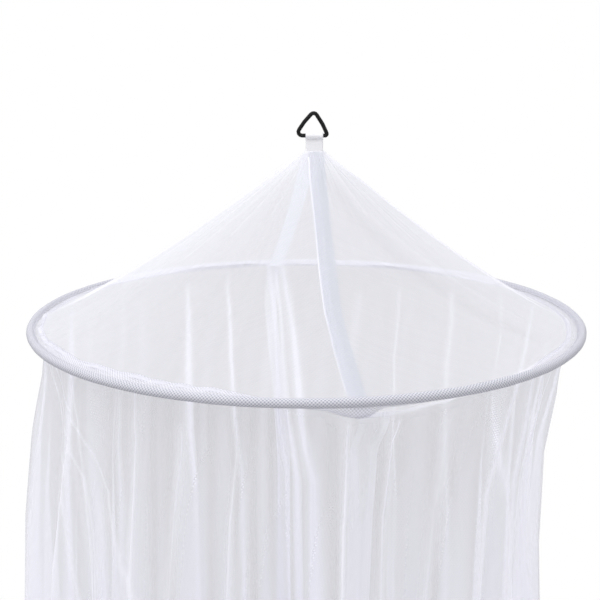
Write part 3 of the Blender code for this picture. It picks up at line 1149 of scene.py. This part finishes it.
    def _gathers(self, azimuth: Grid, drop: float) -> Grid:
        """Draws the fine gathers under the seam, and slow unevenness further down.

        Args:
            azimuth: The columns' azimuths.
            drop: Drop below the hoop.

        Returns:
            Distances outward.
        """
        turn = np.radians(azimuth)
        fine = np.sin(83 * turn + 1.7 * np.sin(9 * turn)) * 0.6
        fine += np.sin(131 * turn + 2.1 * np.sin(7 * turn)) * 0.4
        slow = np.sin(37 * turn + 6.0 * drop) * 0.5 + np.sin(53 * turn - 4.0 * drop + 1.0) * 0.5
        gathers = self.gathers * math.exp(-drop / self.gathers_fade) * fine
        return gathers + self.unevenness * min(1.0, drop / 0.3) * slow

    def grid(self) -> tuple[Grid, Grid]:
        """The panel's cloth.

        Returns:
            Its points by rows and columns, and for each how much denser it looks.
        """
        labels = self.labels()
        rows, whites = [], []
        for beyond in self.tucked:
            radius, height = self.shape.hoop.edge(labels, beyond, self.tuck)
            rows.append(self.shape.hoop.place(labels, radius, height))
            whites.append(self.whiteness(labels, 0.0))
        for drop in self.drops():
            blend = drop / LEVELS[0].drop if drop < LEVELS[0].drop else None
            rows.append(self.row(labels, float(drop), blend))
            whites.append(self.whiteness(labels, float(drop)))
        outward = rows[-1] - np.array([self.shape.hoop.centre.x, self.shape.hoop.centre.y, 0.0])
        outward[:, 2] = 0.0
        outward /= np.linalg.norm(outward, axis=-1, keepdims=True)
        folded = rows[-1] - outward * self.hem_gap
        for rise in (0.0008, self.hem * 0.35, self.hem * 0.7, self.hem):
            rows.append(folded + np.array([0.0, 0.0, rise]))
            whites.append(self.whiteness(labels, self.shape.drop))
        return np.array(rows), np.array(whites)

    def build(self) -> bpy.types.Object:
        """Returns:
            The new object.
        """
        points, white = self.grid()
        thing = sheet_object(self.name + "_net", points, Finish.NET)
        dense = edge_on(points, self.shape.hoop) * self.edge_white + white
        store(thing, "gather", np.clip(dense, 0.0, 1.0))
        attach(thing, "root")
        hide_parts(self.name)
        return thing


def edge_on(points: Grid, hoop: HoopFrame) -> Grid:
    """Works out how far cloth turns edge-on to someone who faces it.

    Args:
        points: Rows by columns by 3.
        hoop: The hoop that the cloth hangs round.

    Returns:
        For each point, a share from 0 to 1.
    """
    steps = np.gradient(points, axis=1)
    outward = points - np.array([hoop.centre.x, hoop.centre.y, 0.0])
    outward[..., 2] = 0.0
    outward /= np.maximum(np.linalg.norm(outward, axis=-1, keepdims=True), 1e-6)
    steps /= np.maximum(np.linalg.norm(steps, axis=-1, keepdims=True), 1e-9)
    return np.abs((steps * outward).sum(axis=-1)) ** 2


@dataclass
class RoofHalf:
    """One half of the roof net, a hollow cone from the tab to the sleeve's seam."""

    name: str
    hoop: HoopFrame
    start: float
    end: float
    height: float = 0.196
    curve: float = 1.2
    middle: float = 0.0003
    collar: tuple[float, float] = (0.0114, 0.0043)
    collar_squareness: tuple[float, float] = (0.6, 0.35)
    over_seam: float = 0.0006
    tucked: tuple[float, float] = (-0.005, 0.0003)
    gathers: float = 0.0006
    gathers_fade: float = 0.22
    columns: int = 260
    bands: int = 80
    band_spread: float = 1.1
    base_white: float = 0.11
    apex_white: float = 0.30
    apex_fade: float = 0.07
    side_white: float = 0.20
    crease_white: float = 0.6
    flat: tuple[float, float] = (1.0, 0.36)

    def points_at(self, azimuth: Grid, share: Grid, below: float = 0.0) -> Grid:
        """Places on the roof.

        Args:
            azimuth: Azimuths in degrees.
            share: Shares of the way from the roof's top edge to the seam.
            below: How far under the net.

        Returns:
            The points.
        """
        turn = np.radians(azimuth)
        across = np.sign(np.sin(turn)) * np.abs(np.sin(turn)) ** self.collar_squareness[0] * self.collar[0]
        depth = -np.sign(np.cos(turn)) * np.abs(np.cos(turn)) ** self.collar_squareness[1] * self.collar[1]
        radius, height = self.hoop.edge(azimuth, self.over_seam, self.over_seam)
        foot = self.hoop.place(azimuth, radius, height)
        x = (self.middle + across) * (1 - share) + foot[..., 0] * share
        y = depth * (1 - share) + foot[..., 1] * share
        top = self.hoop.centre.z + self.height
        z = foot[..., 2] + (top - foot[..., 2]) * (1 - share) ** self.curve - below
        return np.stack([x, y, z], axis=-1)

    def creased(self, azimuth: Grid, share: Grid) -> Grid:
        """Adds up how far the creases lift the net.

        Args:
            azimuth: Azimuths in degrees.
            share: Shares of the way from the roof's top edge to the seam.

        Returns:
            Heights above the smooth cone.
        """
        lift = np.zeros_like(azimuth)
        for crease in ROOF_CREASES:
            lift += crease.depth * self._across(crease, azimuth, share)
        return lift

    def build(self) -> bpy.types.Object:
        """Returns:
            The new object.
        """
        shares = np.linspace(0.0, 1.0, self.bands) ** self.band_spread
        columns = np.linspace(self.start, self.end, self.columns)
        azimuth, share = np.meshgrid(columns, shares)
        lift = self.creased(azimuth, share)
        turn = np.radians(azimuth)
        gathers = np.sin(46 * turn + 1.3 * np.sin(5 * turn)) * 0.6 + np.sin(71 * turn + 0.8) * 0.4
        lift += self.gathers * gathers * np.exp(-share / self.gathers_fade) * np.clip(share / 0.05, 0, 1)
        points = self.points_at(azimuth, share, -lift)
        radius, height = self.hoop.edge(columns, *self.tucked)
        tucked = self.hoop.place(columns, radius, height)
        points = np.concatenate([points, tucked[None]], axis=0)
        thing = sheet_object(self.name + "_net", points, Finish.NET)
        store(thing, "gather", self._gather(azimuth, share))
        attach(thing, "root")
        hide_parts(self.name)
        return thing

    def _gather(self, azimuth: Grid, share: Grid) -> Grid:
        """Makes the net denser near the apex, at the sides and in the creases, and thinner in the crease
        whose darker band is painted shade.

        Args:
            azimuth: Azimuths in degrees.
            share: Shares of the way from the roof's top edge to the seam.

        Returns:
            A share of cover to add, for each of the sheet's points.
        """
        near = self.apex_white * np.exp(-share / self.apex_fade) + self.base_white
        dense = near + self.side_white * np.abs(np.sin(np.radians(azimuth))) ** 4
        for crease in ROOF_CREASES:
            dense += self.crease_white * crease.white * self._across(crease, azimuth, share)
        dense = np.clip(dense, 0.0, 1.0)
        return np.concatenate([dense, dense[-1:]], axis=0)

    @staticmethod
    def _across(crease: Crease, azimuth: Grid, share: Grid) -> Grid:
        """Works out how much each place lies in a crease.

        Args:
            crease: The crease.
            azimuth: Azimuths in degrees.
            share: Shares of the way from the roof's top edge to the seam.

        Returns:
            Shares from 0 to 1.
        """
        run = (share - crease.start) / (crease.end - crease.start)
        turn = (crease.end_azimuth - crease.start_azimuth) * np.clip(run, 0, 1)
        off = off_azimuth(azimuth - turn, crease.start_azimuth)
        across = np.radians(off) * (0.012 + 0.30 * share)  # the cone's radius there, in metres
        return ease(run / 0.12) * ease((1 - run) / 0.12) * np.exp(-((across / crease.breadth) ** 2))


@dataclass
class Sleeve:
    """The coarse mesh casing round the hoop, its two raw edges sewn together as a ruffled seam."""

    hoop: HoopFrame
    steps: int = 900
    arc_steps: int = 18
    seam_steps: int = 7
    half_gap: float = 0.0007
    seam_dense: float = 0.1
    cut_short: float = 0.8  # share of the seam without coarse mesh, right of the front
    cut_from: tuple[float, float] = (9.5, 4.0)  # azimuth and the degrees it takes to change
    cut_to: tuple[float, float] = (42.0, 12.0)
    flat_width: float = 0.056

    def build(self) -> bpy.types.Object:
        """Returns:
            The new object.
        """
        azimuth = np.linspace(0.0, 360.0, self.steps, endpoint=False)
        reach, lift = self.hoop.raw_edge(azimuth)
        turns = np.radians(azimuth)
        tube = self.hoop.tube * (1 + 0.02 * np.sin(turns * 23) + 0.015 * np.sin(turns * 61))
        lip = math.asin(self.half_gap / self.hoop.tube)
        bands = []
        for side in (1, -1):
            band = []
            for share in np.linspace(1.0, 0.0, self.seam_steps)[:-1]:
                along = self.hoop.tube * 1.02 + (reach - self.hoop.tube) * share * self._mesh_share(azimuth)
                above = side * self.half_gap + lift * share**1.6
                band.append(self._place(azimuth, along, above))
            bands.append(band)
        arc = []
        for i in range(self.arc_steps + 1):
            turn = lip + (2 * math.pi - 2 * lip) * i / self.arc_steps
            arc.append(self._place(azimuth, tube * math.cos(turn), tube * math.sin(turn)))
        points = np.array([*bands[0], *arc, *reversed(bands[1])])
        thing = sheet_object("hoop_sleeve_mesh", points, Finish.SLEEVE, closed=True)
        seam = self.seam_steps - 1
        dense = np.full((len(points), self.steps), 1.0)
        dense[1:seam] = self.seam_dense
        dense[-seam:-1] = self.seam_dense
        store(thing, "gather", dense)
        area = area_of(points, closed=True)
        LOG.info("hoop_sleeve_mesh: %.4f square metres", area)
        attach(thing, "root")
        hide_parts("hoop_sleeve")
        return thing

    def _mesh_share(self, azimuth: Grid) -> Grid:
        """Share of the seam's width that the coarse mesh takes: it is cut short to the right."""
        short = ease((azimuth - self.cut_from[0]) / self.cut_from[1])
        return 1 - self.cut_short * short * (1 - ease((azimuth - self.cut_to[0]) / self.cut_to[1]))

    def _place(self, azimuth: Grid, along: Grid, above: Grid) -> Grid:
        """Points beside the seam, by their distances along it and above it."""
        radius, height = self.hoop.seam(azimuth, along, above)
        return self.hoop.place(azimuth, radius, height)


@dataclass
class RoofTape:
    """The woven tape under one of the roof's two seams."""

    name: str
    roof: RoofHalf
    azimuth: float
    finish: Finish = Finish.TAPE
    sway: tuple[float, ...] = (0.0,)  # degrees off its azimuth, at even steps from top to bottom
    width: float = 0.018
    under: float = 0.0014  # how far it lies under the net, more at its edges and in slow waves
    curl: float = 0.0007
    wave: float = 0.0005
    end: float = 0.995
    steps: int = 70
    across_steps: int = 9

    def path(self, shares: Grid) -> Grid:
        """The tape's azimuth at shares of the roof's slope."""
        return self.azimuth + np.interp(shares, np.linspace(0.0, 1.0, len(self.sway)), self.sway)

    def build(self) -> bpy.types.Object:
        """Returns:
            The new object.
        """
        shares = np.linspace(0.0, self.end, self.steps)
        middle = self.roof.points_at(self.path(shares), shares)
        slope = np.gradient(middle, axis=0)
        slope /= np.linalg.norm(slope, axis=-1, keepdims=True)
        turn = math.radians(self.azimuth)
        across = np.array([math.cos(turn), math.sin(turn), 0.0])
        inward = np.cross(slope, across)
        inward *= -np.sign(inward[:, 2:3])
        rows = []
        for side in np.linspace(-1.0, 1.0, self.across_steps):
            below = self.under + self.curl * side * side + self.wave * np.sin(shares * 21 + side)
            rows.append(middle + across * side * self.width / 2 + inward * below[:, None])
        points = np.array(rows).transpose(1, 0, 2)
        thing = sheet_object(self.name + "_weave", points, self.finish)
        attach(thing, "root")
        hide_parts(self.name)
        return thing


@dataclass
class SeamAllowance:
    """The narrow doubled edge of the roof net that shows white beside the front tape.

    Only its outer edge is dense: places says where its columns lie across its width, and dense
    how dense each is.
    """

    tape: RoofTape
    width: float = 0.010
    first: float = 0.02
    last: float = 0.93
    showing: float = 0.0010  # how far it shows beyond the tape
    under: float = 0.0007
    wave: float = 0.0004
    steps: int = 60
    places: tuple[float, ...] = (0.0, 0.08, 0.16, 0.26, 0.6, 1.0)
    dense: tuple[float, ...] = (0.7, 0.7, 0.3, 0.0, 0.0, 0.0)

    def build(self) -> bpy.types.Object:
        """Returns:
            The new object.
        """
        shares = np.linspace(self.first, self.last, self.steps)
        middle = self.tape.roof.points_at(self.tape.path(shares), shares, self.under)
        turn = math.radians(self.tape.azimuth)
        across = np.array([math.cos(turn), math.sin(turn), 0.0])
        edge = -self.tape.width / 2 - self.showing - self.wave * np.sin(shares * 17.0)
        rows = [middle + across * (edge + place * self.width)[:, None] for place in self.places]
        points = np.array(rows).transpose(1, 0, 2)
        thing = sheet_object("front_seam_allowance", points, Finish.NET)
        fading = 1 - 0.7 * ease((shares - 0.55) / 0.3)
        store(thing, "gather", np.outer(fading, self.dense))
        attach(thing, "root")
        return thing


@dataclass
class HangingTab:
    """The webbing folded over the ring's bar."""

    low: Vector
    high: Vector
    bar_height: float = -0.0234
    inner: float = 0.0031
    cloth: float = 0.0011
    gap: float = 0.0002
    leg_steps: int = 12
    loop_steps: int = 25
    across_steps: int = 15

    def build(self) -> bpy.types.Object:
        """Returns:
            The new object.
        """
        outer = self.inner + self.cloth / 2
        tail = self.cloth / 2 + self.gap
        lip = math.asin(tail / outer)
        under_bar = self.bar_height - outer * math.cos(lip)
        leg = [(tail, z) for z in np.linspace(self.low.z, under_bar, self.leg_steps)[:-1]]
        loop = [
            (math.sin(turn) * outer, self.bar_height - math.cos(turn) * outer)
            for turn in np.linspace(lip, 2 * math.pi - lip, self.loop_steps)
        ]
        line = [*leg, *loop, *((-y, z) for y, z in reversed(leg))]
        x = np.linspace(self.low.x, self.high.x, self.across_steps)
        points = np.array([[(px, y, z) for px in x] for y, z in line])
        thing = sheet_object("webbing_tab", points, Finish.WEBBING)
        solid = thing.modifiers.new("cloth", "SOLIDIFY")
        solid.thickness = self.cloth
        solid.offset = 0.0
        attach(thing, "root")
        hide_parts("hanging_tab")
        return thing


# ---------------------------------------------------------------------------------------------
# The studio.


@dataclass(frozen=True)
class Studio:
    """A plain pale floor, a white surround and a soft lamp."""

    floor_height: float
    floor_size: float = 60.0
    painted_shade_behind_net: float = 0.54  # how bright the studio looks through the net: painted shade
    light_above: float = 1.28
    light_below: float = 0.66
    lamp_place: tuple[float, float, float] = (-0.8, -0.8, 1.9)
    lamp_aim: tuple[float, float, float] = (0.0, 0.0, -0.3)
    lamp_size: float = 1.6
    lamp_watts: float = 33.0

    def build(self) -> None:
        """Builds the floor, the surround and the lamp."""
        bpy.ops.object.select_all(action="DESELECT")
        bpy.ops.mesh.primitive_plane_add(size=self.floor_size, location=(0.0, 0.0, self.floor_height))
        floor = bpy.context.object
        floor.name = "studio_floor"
        material, sketch = Sketch.material("pale_floor")
        paint = sketch.node("BsdfPrincipled", {"Base Color": to_linear("#CFCFCF"), "Roughness": 0.9})
        glow = sketch.node("Emission", {"Strength": self._behind_net(sketch)})
        seen = sketch.node("LightPath").outputs["Is Camera Ray"]
        sketch.show(sketch.blend(seen, paint.outputs[0], glow.outputs[0]))
        floor.data.materials.append(material)
        self._surround()
        self._lamp()

    def _surround(self) -> None:
        """A white surround that lights the net more from above than from below."""
        world = bpy.data.worlds.new("studio_surround")
        bpy.context.scene.world = world
        world.use_nodes = True
        sketch = Sketch(world.node_tree)
        place = sketch.node("TexCoord").outputs["Generated"]
        up = sketch.node("SeparateXYZ", {0: place}).outputs[2]
        glow = sketch.ramp(up, -0.5, 0.9, self.light_below, self.light_above)
        seen = sketch.node("LightPath").outputs["Is Camera Ray"]
        both = sketch.node("Mix", {0: seen, 2: glow, 3: self._behind_net(sketch)}, data_type="FLOAT")
        light = sketch.node("Background", {"Color": (1.0, 1.0, 1.0, 1.0), "Strength": both.outputs[0]})
        sketch.node("OutputWorld", {"Surface": light.outputs[0]})

    def _behind_net(self, sketch: Sketch) -> Socket:
        """White in the open, and a soft grey of painted shade where it shows through the net.

        Args:
            sketch: The nodes of the floor or the surround.

        Returns:
            The socket that carries the brightness.
        """
        layers = sketch.node("LightPath").outputs["Transparent Depth"]
        return sketch.ramp(layers, 0.0, 1.0, 1.0, self.painted_shade_behind_net)

    def _lamp(self) -> None:
        """Adds a square soft lamp that faces the hoop."""
        lamp = bpy.data.lights.new("top_lamp", "AREA")
        lamp.size = self.lamp_size
        lamp.energy = self.lamp_watts
        thing = bpy.data.objects.new("top_lamp", lamp)
        thing.location = self.lamp_place
        thing.visible_camera = False
        aim = Vector(self.lamp_aim) - Vector(self.lamp_place)
        thing.rotation_euler = aim.to_track_quat("-Z", "Y").to_euler()
        bpy.context.scene.collection.objects.link(thing)


@dataclass(frozen=True)
class Viewpoint:
    """The camera: in front of the hoop, a little above it."""

    hoop_centre: Vector
    distance: float = 1.2666
    elevation: float = 14.35
    pitch: float = 13.506
    pan: float = 0.336
    lens_mm: float = 63.5

    def build(self) -> None:
        """Adds the camera and makes it the scene's own."""
        data = bpy.data.cameras.new("camera")
        data.lens = self.lens_mm
        data.sensor_width = 36.0
        data.clip_start = 0.01
        data.clip_end = 200.0
        camera = bpy.data.objects.new("camera", data)
        tilt = math.radians(self.elevation)
        camera.location = self.hoop_centre + Vector((0.0, -math.cos(tilt), math.sin(tilt))) * self.distance
        camera.rotation_euler = (math.radians(90.0 - self.pitch), 0.0, math.radians(self.pan))
        bpy.context.scene.collection.objects.link(camera)
        bpy.context.scene.camera = camera


def main() -> None:
    """Builds the canopy's looks around its frame, piece by piece."""
    logging.basicConfig(level=logging.INFO, format="%(message)s")
    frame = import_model()
    scene = bpy.context.scene
    scene.view_settings.view_transform = "Standard"
    scene.cycles.transparent_max_bounces = SEE_THROUGH_LAYERS

    hoop = HoopFrame.from_frame()
    hem = hoop.centre.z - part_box("wall_left")[0][2]
    for node, finish in (("triangle_ring", Finish.RING), ("hoop", Finish.ROD)):
        for slot in frame["nodes"][node].material_slots:
            slot.link = "OBJECT"
            slot.material = finish.material()

    tab_low, tab_high = (Vector(corner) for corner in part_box("hanging_tab"))
    HangingTab(tab_low, tab_high).build()
    Sleeve(hoop).build()
    left = RoofHalf("roof_left", hoop, BACK_SEAM - 360.0, FRONT_SEAM)
    left.build()
    RoofHalf("roof_right", hoop, FRONT_SEAM, BACK_SEAM).build()
    front = RoofTape("front_tape", left, FRONT_SEAM, sway=FRONT_SWAY)
    front.build()
    SeamAllowance(front).build()
    RoofTape("back_tape", left, BACK_SEAM, Finish.BACK_TAPE).build()
    shape = WallShape(hoop, hem)
    WallPanel("wall_left", shape, -1 / 6, 73 / 6, 0.0, (-80.0, -22.0)).build()
    WallPanel("wall_right", shape, 71 / 6, 151 / 6, 1.0, (44.0, 72.0)).build()

    Studio(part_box("wall_left")[0][2] - FLOOR_GAP).build()
    Viewpoint(hoop.centre).build()


if __name__ == "__main__":
    main()
